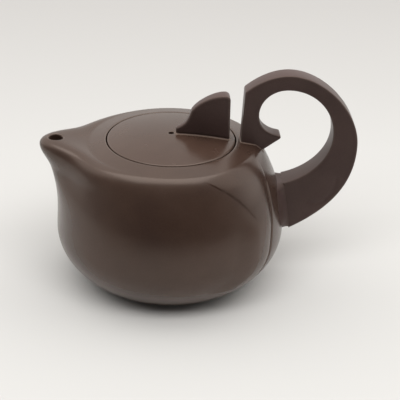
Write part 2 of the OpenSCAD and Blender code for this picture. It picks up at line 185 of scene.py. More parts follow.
wall_clay = clay("burnished_stoneware_wall", "#40302a", "#46352d", "#4c3a32", 0.23, 1.55, 0.15, 0.1)
lid_clay = clay("burnished_stoneware_lid", "#43332b", "#49372f", "#4f3d34", 0.25, 1.52, 0.15, 0.05)
handle_clay = clay("smoothed_stoneware_handle", "#4c3d3a", "#534340", "#594845", 0.32, 1.31, 0.2, 0.0)
inside_clay = clay("turned_stoneware_inside", "#4d3d35", "#594940", "#655448", 0.62, 1.45, 1.0, 0.6)
slip_clay = clay("dried_slip_seam", "#5f4e45", "#6b594f", "#776459", 0.5, 1.45, 0.8, 0.0)
print("clay finishes", [m.name for m in bpy.data.materials if "stoneware" in m.name or "slip" in m.name])

# %% [markdown]
# ## The outline of the pot
# A potter sees the pot as one outline that is turned about an axis. The belly is an ellipse below its widest
# girth, a taller one above it, a round turn into the shoulder and a nearly flat shoulder to the mouth.
# The outline could be drawn by hand, but it has to fall on the solids, so it is worked out from the same sizes.

# %% Outline of the pot, in millimetres
BELLY_RADIUS, BELLY_HEIGHT, RIM_HEIGHT, FOOT_RADIUS = 57.0, 31.0, 77.5, 29.5
FLANK_RISE = 1.48 * (RIM_HEIGHT - BELLY_HEIGHT)
TURN_HEIGHT, MOUTH_RADIUS, SHOULDER_WIDTH = RIM_HEIGHT - 13.0, 32.3, 9.0
SHOULDER_FALL = tan(radians(11.5))
WALL, FLOOR = 4.0, 4.0
SEAT_HEIGHT = RIM_HEIGHT - 4.5
JOINT_RADIUS = MOUTH_RADIUS + SHOULDER_WIDTH
LOWER_AXIS = BELLY_HEIGHT / sqrt(1 - (FOOT_RADIUS / BELLY_RADIUS) ** 2)


def flank_r(z, inset=0.0):
    return (BELLY_RADIUS - inset) * sqrt(1 - ((z - BELLY_HEIGHT) / (FLANK_RISE - inset)) ** 2)


def shoulder_z(r):
    return RIM_HEIGHT - (r - MOUTH_RADIUS) * SHOULDER_FALL


def lower_arc(z0, z1, inset, steps):
    axis = LOWER_AXIS - inset
    a0, a1 = (acos((BELLY_HEIGHT - z) / axis) for z in (z0, z1))
    angles = np.linspace(a0, a1, steps + 1)
    return [((BELLY_RADIUS - inset) * sin(a), BELLY_HEIGHT - axis * cos(a)) for a in angles]


def flank(z0, z1, inset, steps):
    return [(flank_r(z, inset), z) for z in np.linspace(z0, z1, steps + 1)]


def bezier(points, t):
    points = np.array(points, float)
    while len(points) > 1:
        points = points[:-1] * (1 - t) + points[1:] * t
    return points[0]


def curve(points, steps, t0=0.0, t1=1.0):
    return [tuple(bezier(points, t)) for t in np.linspace(t0, t1, steps + 1)]


turn_r = flank_r(TURN_HEIGHT)
turn_slope = -(BELLY_RADIUS / FLANK_RISE) ** 2 * (TURN_HEIGHT - BELLY_HEIGHT) / turn_r
corner_r = (turn_r + turn_slope * (shoulder_z(0) - TURN_HEIGHT)) / (1 + turn_slope * SHOULDER_FALL)
turn_outer = [(turn_r, TURN_HEIGHT), (corner_r, shoulder_z(corner_r)), (JOINT_RADIUS, shoulder_z(JOINT_RADIUS))]
turn_inner = [(flank_r(TURN_HEIGHT, WALL), TURN_HEIGHT),
              (corner_r - WALL * cos(radians(40)), shoulder_z(corner_r) - WALL),
              (JOINT_RADIUS, shoulder_z(JOINT_RADIUS) - WALL)]
skin_line = lower_arc(0, BELLY_HEIGHT, 0, 40) + flank(BELLY_HEIGHT, TURN_HEIGHT, 0, 60)[1:] + curve(turn_outer, 60)[1:]
skin_line = np.array(skin_line + [(MOUTH_RADIUS, RIM_HEIGHT)])


def pot_radius(z):
    """Radius of the pot's outside at a height, away from the spout."""
    return float(np.interp(z, skin_line[:, 1], skin_line[:, 0]))


def pot_height(r):
    """Height of the pot's outside above its widest girth, at a radius."""
    upper = skin_line[skin_line[:, 1] >= BELLY_HEIGHT][::-1]
    return float(np.interp(r, upper[:, 0], upper[:, 1]))


print("turn starts at radius", round(turn_r, 1), "and meets the shoulder ring at", round(JOINT_RADIUS, 1))

# %% [markdown]
# ## The wheel as a tree of geometry nodes
# Nearly everything here is turned: the pot, the lid, the ledge under it and the flange. A screw modifier could turn
# an outline, but the spout is pulled out of the same wall while it is soft. So one tree turns any outline, and pulls
# each point towards a second outline, the beak, by a share that falls away with the angle from the spout.
# The outline is a mesh of points, with the pull and its spread stored on each point, and the tree lays a grid round it.

# %% Tools for trees and pieces
def node_group(name, output, inputs):
    """A new tree of geometry nodes with named inputs, and the sockets that give them."""
    tree = bpy.data.node_groups.new(name, "GeometryNodeTree")
    for label, kind in inputs:
        tree.interface.new_socket(label, in_out="INPUT", socket_type="NodeSocket" + kind)
    tree.interface.new_socket(output, in_out="OUTPUT", socket_type="NodeSocketGeometry")
    return tree, add(tree, "NodeGroupInput").outputs


def split_index(tree, size):
    """For points counted in groups of one size: the number of each point's group, and its place in the group."""
    calc = partial(math_node, tree)
    index = add(tree, "GeometryNodeInputIndex")
    group = calc("FLOOR", calc("DIVIDE", calc("ADD", index, 0.5), size))
    return group, calc("SUBTRACT", index, calc("MULTIPLY", group, size))


def hand_out(tree, geometry, material):
    """The end of a tree: real geometry in one material."""
    real = add(tree, "GeometryNodeRealizeInstances", {0: geometry})
    clad = add(tree, "GeometryNodeSetMaterial", {"Geometry": real, "Material": material})
    add(tree, "NodeGroupOutput", {0: clad})


def made_plain(obj):
    """Turns what an object's modifiers make into its own plain mesh."""
    bpy.context.view_layer.update()
    mesh = bpy.data.meshes.new_from_object(obj.evaluated_get(bpy.context.evaluated_depsgraph_get()))
    obj.modifiers.clear()
    if mesh.materials and mesh.materials[0] is None:
        mesh.materials.pop(index=0)
    obj.data = mesh
    mesh.name = obj.name


def faced_outwards(obj):
    """Points every face outwards, and says how large the piece is and whether it is closed."""
    shape = bmesh.new()
    shape.from_mesh(obj.data)
    bmesh.ops.remove_doubles(shape, verts=shape.verts, dist=0.002 * MM)
    bmesh.ops.dissolve_degenerate(shape, edges=shape.edges, dist=0.001 * MM)
    bmesh.ops.recalc_face_normals(shape, faces=shape.faces)
    if shape.calc_volume(signed=True) < 0:
        bmesh.ops.reverse_faces(shape, faces=shape.faces)
    open_edges = sum(1 for e in shape.edges if len(e.link_faces) != 2)
    volume = shape.calc_volume(signed=True) / MM ** 3
    print(obj.name, "faces", len(shape.faces), "open edges", open_edges, "volume mm3", round(volume))
    shape.to_mesh(obj.data)
    shape.free()


def outline_object(name, points, pull=None, spread=None):
    mesh = bpy.data.meshes.new(name)
    mesh.from_pydata([(r * MM, 0, z * MM) for r, z in points], [], [])
    pull = pull or [(0, 0)] * len(points)
    data = mesh.attributes.new("pull", "FLOAT_VECTOR", "POINT").data
    data.foreach_set("vector", [v for r, z in pull for v in (r * MM, 0, z * MM)])
    mesh.attributes.new("spread", "FLOAT", "POINT").data.foreach_set("value", spread or [1.0] * len(points))
    obj = bpy.data.objects.new(name, mesh)
    scene.collection.objects.link(obj)
    return obj


def made_by(tree, obj, values):
    """Runs a tree on an object, with its inputs set by their identifiers, and keeps what it makes as a plain mesh."""
    modifier = obj.modifiers.new(tree.name, "NODES")
    modifier.node_group = tree
    sockets = {s.name: s.identifier for s in tree.interface.items_tree if s.in_out == "INPUT"}
    for name, value in values.items():
        modifier[sockets[name]] = value
    made_plain(obj)
    faced_outwards(obj)


print("a tree can now be run on any outline")

# %% The wheel
def wheel_tree():
    tree, given = node_group("clay_wheel", "Piece", (
        ("Outline", "Geometry"), ("Columns", "Int"), ("Crowding", "Float"), ("Spout Span", "Float"),
        ("Spread Share", "Float"), ("Crest Angle", "Float"), ("Clay", "Material")))
    calc = partial(math_node, tree)
    rows = add(tree, "GeometryNodeAttributeDomainSize", {0: given["Outline"]}).outputs["Point Count"]
    wide = calc("ADD", given["Columns"], 1.0)
    grid = add(tree, "GeometryNodeMeshGrid", {"Vertices X": wide, "Vertices Y": rows})
    column, row = split_index(tree, rows)
    side = calc("MULTIPLY_ADD", calc("DIVIDE", column, given["Columns"]), 2.0, -1.0)
    size = calc("ABSOLUTE", side)
    spaced = add(tree, "ShaderNodeMix", {0: given["Crowding"], 2: size, 3: calc("POWER", size, 3.0)})
    away = calc("MULTIPLY", spaced, pi)
    angle = calc("MULTIPLY", away, calc("SIGN", side))

    read = {}
    for name, kind in (("position", "FLOAT_VECTOR"), ("pull", "FLOAT_VECTOR"), ("spread", "FLOAT")):
        field = add(tree, "GeometryNodeInputNamedAttribute", {"Name": name}, data_type=kind).outputs["Attribute"]
        picked = add(tree, "GeometryNodeSampleIndex", {"Geometry": given["Outline"], "Index": row}, data_type=kind)
        tree.links.new(field, picked.inputs["Value"])
        read[name] = picked.outputs["Value"]

    ended = calc("MINIMUM", calc("DIVIDE", away, given["Spout Span"]), 1.0)
    fading = calc("COSINE", calc("MULTIPLY", ended, pi / 2))
    faded = calc("MULTIPLY", fading, fading)

    def swell(width):
        ratio = calc("DIVIDE", away, width)
        bell = calc("EXPONENT", calc("MULTIPLY", calc("MULTIPLY", ratio, ratio), -1.0))
        near = calc("MULTIPLY", fading, bell)
        return add(tree, "ShaderNodeMix", {0: given["Spread Share"], 2: near, 3: faded})

    shares = add(tree, "ShaderNodeCombineXYZ", {0: swell(read["spread"]), 2: swell(given["Crest Angle"])})
    pulled = add(tree, "ShaderNodeVectorMath", {0: read["pull"], 1: shares, 2: read["position"]},
                 operation="MULTIPLY_ADD")
    placed = add(tree, "ShaderNodeVectorRotate", {"Vector": pulled, "Angle": calc("ADD", angle, pi)},
                 rotation_type="Z_AXIS")
    laid = add(tree, "GeometryNodeSetPosition", {"Geometry": grid.outputs["Mesh"], "Position": placed})
    joined = add(tree, "GeometryNodeMergeByDistance", {"Geometry": laid, "Distance": 0.002 * MM})
    smooth = add(tree, "GeometryNodeSetShadeSmooth", {"Geometry": joined})
    hand_out(tree, smooth, given["Clay"])
    return tree


wheel = wheel_tree()


def turned_piece(obj, material, columns, **sizes):
    values = {"Columns": columns, "Crowding": 0.0, "Spout Span": 1.0, "Spread Share": 0.0, "Crest Angle": 1.0,
              "Clay": material}
    values.update({key.replace("_", " ").title(): value for key, value in sizes.items()})
    made_by(wheel, obj, values)
    return obj


print("the wheel has", len(wheel.nodes), "nodes")

# %% [markdown]
# ## The pot with its spout
# The spout is not a tube stuck on: the wall swells, and its upper edge runs out into a flat beak with a hole on top.
# It could be sculpted, but a rule gives the same clean sweep on both sides: the beak's centre line is one curve, and
# each angle takes a share of the way from the round wall to that curve. The inside is the same outline moved in by
# the wall's thickness, without the spout.

# %% The pot's outline with the pull of the spout
SPOUT_REACH, SPOUT_CREST, THROAT_SWELL = 65.2, 1.4, 10.3
SPOUT_BOTTOM = BELLY_HEIGHT + 3
SPOUT_SPAN, SPREAD_SHARE = radians(80), 0.28
BEAK_ANGLE, CREST_ANGLE, THROAT_ANGLE = radians(14), radians(20), radians(30)
THROAT_POWER, CHIN_RISE = 2.4, 7.2
TIP_REACH, TIP_HEIGHT, CREST_BACK, CREST_HEIGHT, FALL_LENGTH = 8.1, 0.3, 3.9, 3.3, 9.5
LEDGE_OUTER, SEAT_BLEND = 36.3, 38.5
crest_level = RIM_HEIGHT + SPOUT_CREST
throat_slope = turn_slope + THROAT_SWELL * THROAT_POWER / (TURN_HEIGHT - SPOUT_BOTTOM)
beak_line = [(turn_r + THROAT_SWELL, TURN_HEIGHT),
             (turn_r + THROAT_SWELL + throat_slope * CHIN_RISE, TURN_HEIGHT + CHIN_RISE),
             (SPOUT_REACH + TIP_REACH, crest_level + TIP_HEIGHT),
             (SPOUT_REACH - CREST_BACK, crest_level + CREST_HEIGHT),
             (JOINT_RADIUS + FALL_LENGTH, RIM_HEIGHT), (JOINT_RADIUS, shoulder_z(JOINT_RADIUS))]


def smooth_step(t):
    t = min(max(t, 0.0), 1.0)
    return t * t * (3 - 2 * t)


def throat(z):
    return THROAT_SWELL * ((z - SPOUT_BOTTOM) / (TURN_HEIGHT - SPOUT_BOTTOM)) ** THROAT_POWER


def beak_spread(z):
    low = smooth_step(2 * (TURN_HEIGHT - z) / (TURN_HEIGHT - SPOUT_BOTTOM))
    return BEAK_ANGLE + (THROAT_ANGLE - BEAK_ANGLE) * low


FOOT_ROUND, LIP_ROUND, TURN_STEPS = 1.2, 0.8, 40
outline = [(r, 0) for r in (0, 8, 16, 23, FOOT_RADIUS - FOOT_ROUND)]
foot_turn = lower_arc(FOOT_ROUND * 0.8, BELLY_HEIGHT, 0, 26)
outline += curve([outline[-1], (FOOT_RADIUS, 0), foot_turn[0]], 4)[1:]
outline += foot_turn[1:] + flank(BELLY_HEIGHT, SPOUT_BOTTOM, 0, 2)[1:]
pull = [(0, 0)] * len(outline)
for r, z in flank(SPOUT_BOTTOM, TURN_HEIGHT, 0, 30)[1:]:
    outline.append((r, z))
    pull.append((throat(z), 0))
for t in np.linspace(0, 1, TURN_STEPS + 1)[1:]:
    base = bezier(turn_outer, t)
    outline.append(tuple(base))
    pull.append(tuple(bezier(beak_line, t) - base))
lip_start = (MOUTH_RADIUS + LIP_ROUND, shoulder_z(MOUTH_RADIUS + LIP_ROUND))
plain = [(r, shoulder_z(r)) for r in np.linspace(JOINT_RADIUS, lip_start[0], 7)[1:]]
plain += curve([lip_start, (MOUTH_RADIUS, RIM_HEIGHT), (MOUTH_RADIUS, RIM_HEIGHT - LIP_ROUND)], 5)[1:]
plain += [(MOUTH_RADIUS, RIM_HEIGHT - 2.5), (MOUTH_RADIUS, SEAT_HEIGHT), (LEDGE_OUTER, SEAT_HEIGHT),
          (SEAT_BLEND, SEAT_HEIGHT - 0.3)]
plain += curve(turn_inner, 8)[::-1] + flank(BELLY_HEIGHT, TURN_HEIGHT, WALL, 8)[-2::-1]
plain += lower_arc(FLOOR, BELLY_HEIGHT, WALL, 8)[-2::-1] + [(r, FLOOR) for r in (24, 12, 0)]
skin_rows = len(outline)
outline += plain
pull += [(0, 0)] * len(plain)
spread = [beak_spread(z) for r, z in outline]
print("the pot's outline has", len(outline), "points,", skin_rows, "of them on the outside")

# %% Turning the pot
POT_COLUMNS = 500
pot = outline_object("pot_shell", outline, pull, spread)
turned_piece(pot, wall_clay, POT_COLUMNS, crowding=0.4, spout_span=SPOUT_SPAN, spread_share=SPREAD_SHARE,
             crest_angle=CREST_ANGLE)

# %% [markdown]
# ## The carved wing on each side
# From the foot of the handle a shallow wing runs down each side of the belly. Its front edge starts as a small cut on
# the shoulder's turn and softens into a ridge of up to about 1.4 mm; its back edge is a groove about half a millimetre
# deep, and the wing rounds over into it. A bump in the material would vanish at the outline, so the mesh itself is
# lifted, after the faces near the two edges are divided so that the cut stays clean. Faces that the division leaves
# with more than four corners become triangles, because a folded one would catch the light.

# %% The wing as a rule
RIDGE_LIFT, STEP_LIFT, CUT_LIFT, SOFT_FALL, CUT_FALL = 1.4, 0.45, 0.45, 15.0, 1.2
GROOVE_DEPTH, ROUND_FALL, WALL_FALL = 0.6, 2.4, 0.45
BEND_SLANT, NEAR_CUT_FIRST, NEAR_CUT_LAST = 0.32, 2.6, 1.7
# where each form starts or ends, and the height over which it fades
WING_START, WING_END, GROOVE_START, GROOVE_END = (10, 8), (74.5, 6), (10, 6), (66, 8)
RIDGE_END, CUT_START, BEND_START = (56, 16), (49, 10), (50, 6)
WING_BACK = [(17, 35.9), (24.8, 33.3), (31.7, 31.3), (39, 29.8), (46.6, 27.9), (53.5, 26.3), (57.5, 25.3), (61, 24.2),
             (65, 22.8), (70, 21.4)]
WING_FRONT = [(17, 57), (21.6, 50.3), (25.3, 46.7), (30.4, 44.8), (35.5, 43.8), (40.6, 43.2), (45.6, 42.4),
              (51.5, 42.2), (57.3, 46.3), (63.5, 52.2), (67.7, 57.6), (71.5, 64.5), (74, 70)]
wing_back, wing_front = np.array(WING_BACK), np.array(WING_FRONT)


def rising(z, start, length):
    return smooth_step((z - start) / length)


def falling(z, end, length):
    return smooth_step((end - z) / length)


def wing_sides(x, y, z):
    """Distances in millimetres from a point on the skin to the wing's back edge and front edge."""
    bearing = degrees(atan2(abs(y), x))
    arc = radians(1) * hypot(x, y)
    behind = (bearing - np.interp(z, wing_back[:, 0], wing_back[:, 1])) * arc
    ahead = (np.interp(z, wing_front[:, 0], wing_front[:, 1]) - bearing) * arc
    return behind, ahead * (1 - BEND_SLANT * rising(z, *BEND_START))


def wing_lift(x, y, z):
    behind, ahead = wing_sides(x, y, z)
    across = min(max(behind / max(behind + ahead, 0.1), 0), 1)
    sharp = smooth_step(1 + ahead / CUT_FALL)
    soft = RIDGE_LIFT * falling(z, *RIDGE_END) * smooth_step(1 + ahead / SOFT_FALL)
    cut = CUT_LIFT * rising(z, *CUT_START) * sharp
    raised = (soft + cut) * across + STEP_LIFT * (1 - across) * sharp
    ends = rising(z, *WING_START) * falling(z, *WING_END)
    depth = GROOVE_DEPTH * rising(z, *GROOVE_START) * falling(z, *GROOVE_END)
    if behind > 0:
        fill = 1 - exp(-behind / ROUND_FALL)
        return (raised * ends + depth) * fill - depth
    return -depth * exp(behind / WALL_FALL)


WING_CHECK = 40
spots = [(pot_radius(WING_CHECK) * cos(a), pot_radius(WING_CHECK) * sin(a), WING_CHECK)
         for a in np.radians(np.arange(28, 52, 4))]
print("lift in mm across the wing at height", WING_CHECK, [round(float(wing_lift(*spot)), 2) for spot in spots])

# %% Carving the wing
def on_skin(v):
    x, y, z = v.co / MM
    return WING_START[0] < z < RIM_HEIGHT - 1.5 and x > 5 and hypot(x, y) > pot_radius(z) - 1


def near_cut(v, reach):
    if not on_skin(v):
        return False
    behind, ahead = wing_sides(*(v.co / MM))
    return abs(behind) < reach or (abs(ahead) < reach and v.co.z / MM > BEND_START[0])


shape = bmesh.new()
shape.from_mesh(pot.data)
for reach in (NEAR_CUT_FIRST, NEAR_CUT_LAST):
    close = {v for v in shape.verts if near_cut(v, reach)}
    edges = [e for e in shape.edges if e.verts[0] in close and e.verts[1] in close]
    bmesh.ops.subdivide_edges(shape, edges=edges, cuts=1, use_grid_fill=True, use_single_edge=True)
shape.normal_update()
moves = [(v, v.normal * (wing_lift(*(v.co / MM)) * MM)) for v in shape.verts if on_skin(v)]
for v, move in moves:
    v.co += move
uneven = [f for f in shape.faces if len(f.verts) > 4]
bmesh.ops.triangulate(shape, faces=uneven, quad_method="BEAUTY", ngon_method="BEAUTY")
shape.to_mesh(pot.data)
shape.free()
highest = max(move.length for v, move in moves) / MM
print("wing carved on", len(moves), "points, highest", round(highest, 2), "mm,", len(uneven), "faces made even")

# %% [markdown]
# ## The channel and the pour hole
# Tea leaves the belly through a slanting channel that narrows on its way up, and comes out of a round hole in the
# flat top of the beak. The hole's rim is wiped round with a wet finger while the clay is soft.
# A dark disc on the beak would look right from one side only, so the clay is really cut: one tapered rod for the
# channel, and one upright rod for the hole, which widens where it meets the beak's own surface.

# %% Lofts and bores
AROUND = 96


def new_piece(name, points, faces, material):
    """A mesh object from points in millimetres."""
    mesh = bpy.data.meshes.new(name)
    mesh.from_pydata([Vector(p) * MM for p in points], [], faces)
    mesh.materials.append(material)
    obj = bpy.data.objects.new(name, mesh)
    scene.collection.objects.link(obj)
    return obj


def lofted(name, rings, material, wrap=False):
    """A skin over rings of points in millimetres, closed by a cap at each end, or by the first ring again."""
    count, total = len(rings[0]), len(rings)
    points = [p for ring in rings for p in ring]
    faces = []
    for i in range(total if wrap else total - 1):
        here, there = i * count, (i + 1) % total * count
        faces += [(here + k, here + (k + 1) % count, there + (k + 1) % count, there + k) for k in range(count)]
    if not wrap:
        faces += [tuple(range(count)), tuple(range((total - 1) * count, total * count))]
    obj = new_piece(name, points, faces, material)
    obj.data.polygons.foreach_set("use_smooth", [True] * len(faces))
    faced_outwards(obj)
    return obj


def circle(centre, across, along, radius):
    angles = np.linspace(0, 2 * pi, AROUND, endpoint=False)
    return [centre + (across * cos(a) + along * sin(a)) * radius for a in angles]


def bored(obj, rod):
    modifier = obj.modifiers.new("bore", "BOOLEAN")
    modifier.object, modifier.operation, modifier.solver = rod, "DIFFERENCE", "EXACT"
    modifier.material_mode = "TRANSFER"
    made_plain(obj)
    bpy.data.objects.remove(rod)


print("rings have", AROUND, "points")

# %% Boring the spout
CHANNEL_LOW, CHANNEL_HIGH = Vector((-39.3, 0, 54.75)), Vector((-57, 0, 71))
CHANNEL_LOW_RADIUS, CHANNEL_HIGH_RADIUS = 8.5, 3.7
HOLE_RADIUS, HOLE_ROUND, HOLE_PROUD, ROD_BELOW, ROD_ABOVE, ROD_WIDER = 3.4, 0.9, 0.02, 0.6, 4, 1.05
bpy.context.view_layer.update()
beak_surface = BVHTree.FromObject(pot, bpy.context.evaluated_depsgraph_get())


def beak_top(x, y):
    hit = beak_surface.ray_cast(Vector((x, y, 200)) * MM, Vector((0, 0, -1)))[0]
    return hit.z / MM


sideways = Vector((0, 1, 0))
upwards = sideways.cross((CHANNEL_HIGH - CHANNEL_LOW).normalized())
channel = lofted("channel", [circle(CHANNEL_LOW, sideways, upwards, CHANNEL_LOW_RADIUS),
                             circle(CHANNEL_HIGH, sideways, upwards, CHANNEL_HIGH_RADIUS)], inside_clay)
hole_rings = []
for turn in np.linspace(0, pi / 2, 7):
    flare = HOLE_RADIUS + HOLE_ROUND * (1 - cos(turn))
    ring = []
    for a in np.linspace(0, 2 * pi, AROUND, endpoint=False):
        rim_point = CHANNEL_HIGH + Vector((cos(a), sin(a), 0)) * (HOLE_RADIUS + HOLE_ROUND)
        level_here = beak_top(rim_point.x, rim_point.y) - HOLE_ROUND * (1 - sin(turn))
        ring.append((CHANNEL_HIGH.x + cos(a) * flare, sin(a) * flare, level_here + HOLE_PROUD))
    hole_rings.append(ring)
bottom_ring = [(x, y, CHANNEL_HIGH.z - ROD_BELOW) for x, y, z in hole_rings[0]]
top_ring = [(CHANNEL_HIGH.x + (x - CHANNEL_HIGH.x) * ROD_WIDER, y * ROD_WIDER, z + ROD_ABOVE)
            for x, y, z in hole_rings[-1]]
pour_hole = lofted("pour_hole", [bottom_ring] + hole_rings + [top_ring], wall_clay)
bored(pot, channel)
bored(pot, pour_hole)
print("pour hole", 2 * HOLE_RADIUS, "mm wide at height", round(beak_top(CHANNEL_HIGH.x, 0), 1))

# %% [markdown]
# ## The inside of the pot, and the wear and painted highlight on its edges
# Inside, the wall keeps the ring marks of the wheel and is never burnished, so it is duller and a little browner.
# Outside, hands and cloths polish the edges first. Rubbed edges could be painted by hand, but they follow a rule: the
# tighter the clay bends outwards, the more it is touched. So the bend is measured on the mesh, evened out between
# neighbours and kept as a number on each point. The clay's material makes those edges glossier, as polish does, and
# paints them paler, which is a painted highlight along the edges.

# %% Inside faces and worn edges
def mark_edge_wear_and_highlight(obj, full_bend=1.0, rounds=3, narrowest=0.3, spared=0.15):
    """Keeps on each point how tightly the surface bends outwards there, 1 for a radius of a millimetre or less."""
    shape = bmesh.new()
    shape.from_mesh(obj.data)
    bends = np.zeros(len(shape.verts))
    for e in shape.edges:
        if len(e.link_faces) == 2:
            width = sum(f.calc_area() for f in e.link_faces) / 2 / max(e.calc_length(), 1e-9)
            bend = e.calc_face_angle_signed(0.0) / max(width / MM, narrowest)
            for v in e.verts:
                bends[v.index] = max(bends[v.index], bend)
    ends = np.array([[v.index for v in e.verts] for e in shape.edges])
    shape.free()
    meetings = np.bincount(ends.ravel(), minlength=len(bends))
    for _ in range(rounds):
        near = sum(np.bincount(ends[:, k], bends[ends[:, 1 - k]], len(bends)) for k in range(2)) / meetings
        bends = np.minimum(bends, (bends + near) / 2)
    data = obj.data.attributes.new("edge_wear_and_highlight", "FLOAT", "POINT").data
    data.foreach_set("value", np.clip(bends / full_bend - spared, 0, 1).astype(np.float32))


def finished(obj, sharp_angle=40):
    """Smooth shading that breaks only at real corners, and the edge wear with its painted highlight."""
    obj.data.polygons.foreach_set("use_smooth", [True] * len(obj.data.polygons))
    obj.data.set_sharp_from_angle(angle=radians(sharp_angle))
    mark_edge_wear_and_highlight(obj)


inner = list(pot.data.materials).index(inside_clay)
inner_faces = 0
for face in pot.data.polygons:
    x, y, z = face.center / MM
    if 2 < z < SEAT_HEIGHT - 0.05 and hypot(x, y) < pot_radius(z) - 1.2 and x > -CHANNEL_LOW_RADIUS - 46:
        face.material_index = inner
        inner_faces += 1
finished(pot)
triangles = sum(len(face.vertices) - 2 for face in pot.data.polygons)
print("inside faces", inner_faces, "of", len(pot.data.polygons), "triangles", triangles)

# %% [markdown]
# ## The ledge and the strainer
# Under the mouth a ledge carries the lid, and behind the spout a patch of clay with small holes keeps the leaves back.
# The ledge comes off the same wheel. The strainer's holes could be cut one by one; a small tree sets one rod on each
# crossing of a grid of angles and heights and cuts them all at once, so their count and spacing stay easy to change.

# %% The ledge
LEDGE_INNER, LEDGE_MIDDLE, LEDGE_BOTTOM, EDGE_SOFT, SEAT_GAP = 28.3, 32, 70.0, 0.5, 0.01
ledge_top = SEAT_HEIGHT - SEAT_GAP


def soft_corner(r, z, along_r, along_z, steps=4):
    """A corner of an outline, rounded from a point beside it to a point above or below it."""
    return curve([(r + along_r, z), (r, z), (r, z + along_z)], steps)


def turned_ring(name, line, material, columns):
    """A closed outline, turned and finished."""
    ring = turned_piece(outline_object(name, line + line[:1]), material, columns)
    finished(ring)
    return ring


ledge_line = [(LEDGE_OUTER, ledge_top), (LEDGE_MIDDLE, ledge_top)]
ledge_line += soft_corner(LEDGE_INNER, ledge_top, EDGE_SOFT, SEAT_GAP - EDGE_SOFT)
ledge_line += soft_corner(LEDGE_INNER, LEDGE_BOTTOM, EDGE_SOFT, EDGE_SOFT)[::-1]
ledge_line += [(LEDGE_MIDDLE, LEDGE_BOTTOM), (LEDGE_OUTER, LEDGE_BOTTOM)]
ledge = turned_ring("seat_ledge", ledge_line, inside_clay, 160)

# %% A tree for the strainer's holes
def strainer_tree():
    tree, given = node_group("strainer_holes", "Strainer", (
        ("Patch", "Geometry"), ("Columns", "Int"), ("Rows", "Int"), ("Step", "Float"), ("Pitch", "Float"),
        ("Bore", "Float"), ("Middle", "Float"), ("Radius", "Float"), ("Clay", "Material")))
    calc = partial(math_node, tree)
    points = add(tree, "GeometryNodePoints", {"Count": calc("MULTIPLY", given["Columns"], given["Rows"])})
    row, column = split_index(tree, given["Columns"])
    across, upward = (calc("SUBTRACT", place, calc("MULTIPLY_ADD", given[count], 0.5, -0.5))
                      for place, count in ((column, "Columns"), (row, "Rows")))
    bearing = calc("MULTIPLY_ADD", across, given["Step"], pi)
    height = calc("MULTIPLY_ADD", upward, given["Pitch"], given["Middle"])
    ahead = add(tree, "ShaderNodeCombineXYZ", {0: given["Radius"], 2: height})
    placed = add(tree, "ShaderNodeVectorRotate", {"Vector": ahead, "Angle": bearing}, rotation_type="Z_AXIS")
    set_points = add(tree, "GeometryNodeSetPosition", {"Geometry": points, "Position": placed})
    rod = add(tree, "GeometryNodeMeshCylinder", {"Vertices": 32, "Radius": 1.0, "Depth": 12 * MM})
    lying = add(tree, "FunctionNodeEulerToRotation", {0: add(tree, "ShaderNodeCombineXYZ", {1: pi / 2, 2: bearing})})
    half_bore = calc("MULTIPLY", given["Bore"], 0.5)
    slim = add(tree, "ShaderNodeCombineXYZ", {0: half_bore, 1: half_bore, 2: 1.0})
    rods = add(tree, "GeometryNodeInstanceOnPoints", {"Points": set_points, "Instance": rod, "Rotation": lying,
                                                      "Scale": slim})
    solid_rods = add(tree, "GeometryNodeRealizeInstances", {0: rods})
    pierced = add(tree, "GeometryNodeMeshBoolean", {"Mesh 1": given["Patch"], "Mesh 2": solid_rods},
                  operation="DIFFERENCE", solver="EXACT")
    hand_out(tree, pierced, given["Clay"])
    return tree


holes = strainer_tree()
print("the strainer's tree has", len(holes.nodes), "nodes")

# %% The strainer
STRAINER_MIDDLE, STRAINER_HALF_HEIGHT, STRAINER_HALF_ANGLE = 56.15, 8.2, 14.3
STRAINER_BACK, STRAINER_THICKNESS = WALL + 0.15, 2.5
HOLE_BORE, HOLE_STEP, HOLE_PITCH, HOLE_COLUMNS, HOLE_ROWS = 2.6, 4.6, 3.9, 5, 3
patch_rings = []
for bearing in np.linspace(-STRAINER_HALF_ANGLE, STRAINER_HALF_ANGLE, 33):
    ring = []
    for step_in, heights in ((0, np.linspace(-1, 1, 13)), (STRAINER_THICKNESS, np.linspace(1, -1, 13))):
        for share in heights:
            z = STRAINER_MIDDLE + STRAINER_HALF_HEIGHT * share
            r = flank_r(z, STRAINER_BACK) - step_in
            ring.append((-r * cos(radians(bearing)), -r * sin(radians(bearing)), z))
    patch_rings.append(ring)
strainer = lofted("strainer_patch", patch_rings, inside_clay)
hole_radius = flank_r(STRAINER_MIDDLE, STRAINER_BACK) - STRAINER_THICKNESS / 2
made_by(holes, strainer, {
    "Columns": HOLE_COLUMNS, "Rows": HOLE_ROWS, "Step": radians(HOLE_STEP), "Pitch": HOLE_PITCH * MM,
    "Bore": HOLE_BORE * MM, "Middle": STRAINER_MIDDLE * MM, "Radius": hole_radius * MM, "Clay": inside_clay})
finished(strainer)

# %% [markdown]
# ## The lid and its flange
# The lid lies flush in the shoulder: a low dome with a small vent in the middle, and a ring underneath that keeps it
# centred. Both are turned. The edge of the lid and the edge of the mouth are rounded a little, as a wet sponge leaves
# them, because that soft double line round the lid is what tells the eye that the lid is a separate piece.

# %% The lid
LID_RADIUS, LID_DOME, VENT_RADIUS, VENT_ROUND = 31.8, 3.0, 1.4, 0.3


def lid_z(r):
    return RIM_HEIGHT + LID_DOME * (1 - (r / LID_RADIUS) ** 2)


